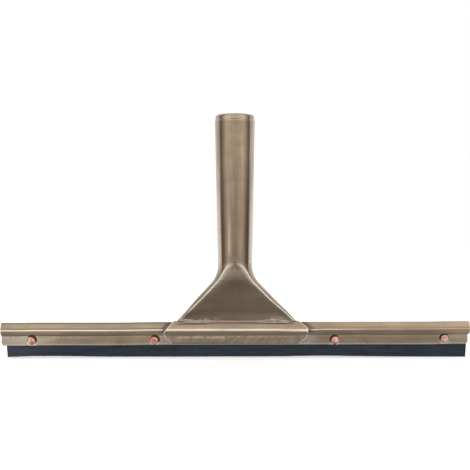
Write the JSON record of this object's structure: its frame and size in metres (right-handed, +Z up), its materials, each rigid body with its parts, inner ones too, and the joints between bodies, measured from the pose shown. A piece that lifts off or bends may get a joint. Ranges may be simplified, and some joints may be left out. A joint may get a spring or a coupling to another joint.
{
  "type": "window cleaning squeegee",
  "caption": "Soldered sheet bronze window squeegee: a tapered tube handle fans out onto a folded rail that holds a riveted rubber blade.",
  "frame": {"origin": "middle of the blade's wiping edge", "axes": "+Z up the handle's axis, towards its mouth; +X along the blade; -Y towards the front face"},
  "size_m": [0.352, 0.0296, 0.182],
  "materials": {
    "bronze": "brushed and tarnished sheet bronze",
    "solder": "dull wiped tin solder",
    "rubber": "matt natural rubber, blue black",
    "copper": "hammered bare copper"
  },
  "bodies": {
    "root": {"handle_front_shell": "bronze", "handle_rear_shell": "bronze", "mouth_ring": "bronze", "seam_solder_left": "solder", "seam_solder_right": "solder", "fan_solder_front": "solder", "fan_solder_rear": "solder", "saddle": "bronze", "saddle_solder_front_left": "solder", "saddle_solder_front_right": "solder", "saddle_solder_rear_left": "solder", "saddle_solder_rear_right": "solder", "rail": "bronze", "blade": "rubber", "rivet_1": "copper", "rivet_2": "copper", "rivet_3": "copper", "rivet_4": "copper"}
  },
  "joints": []
}
